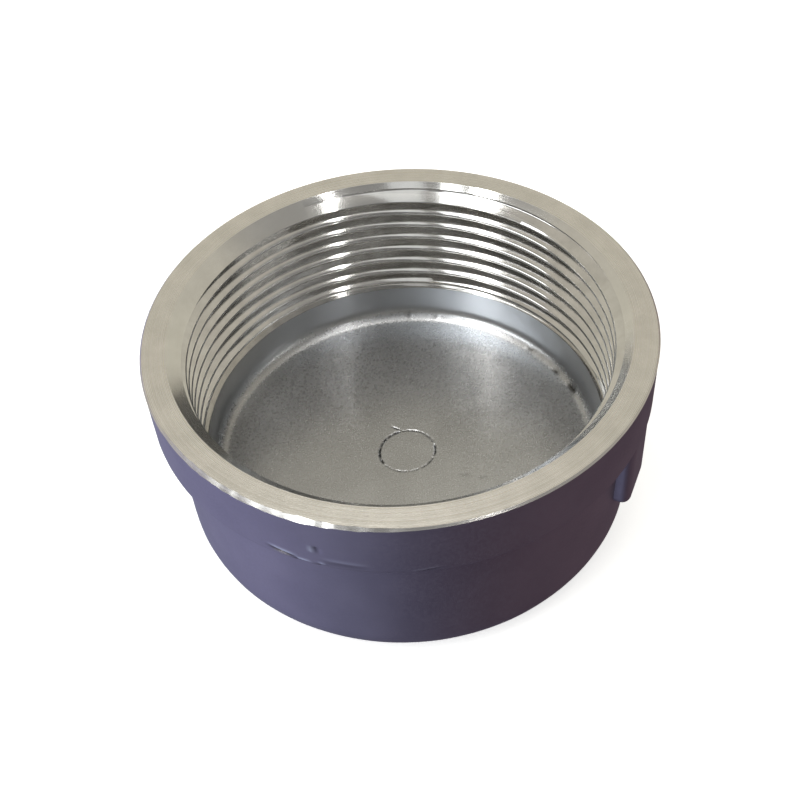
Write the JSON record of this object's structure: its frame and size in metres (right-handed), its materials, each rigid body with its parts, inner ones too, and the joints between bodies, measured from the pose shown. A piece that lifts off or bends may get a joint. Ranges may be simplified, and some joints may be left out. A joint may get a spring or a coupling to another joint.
{
  "type": "pipe cap",
  "caption": "Round female threaded pipe cap: a cast steel cup with a banded mouth, turned rim and chamfer, and a helical pipe thread inside.",
  "frame": {"origin": "centre of the outer face of the closed end, on the thread's axis", "axes": "+Z along the thread's axis, out of the mouth; +X and +Y across it, with the runner pad 25 degrees from +X towards -Y"},
  "size_m": [0.0678, 0.0678, 0.0305],
  "materials": {
    "cast_stainless": "as-cast and pickled matte grey outside and on the floor; bright turned rim, chamfer and thread"
  },
  "bodies": {
    "root": {"cap_body": "cast_stainless"}
  },
  "joints": []
}
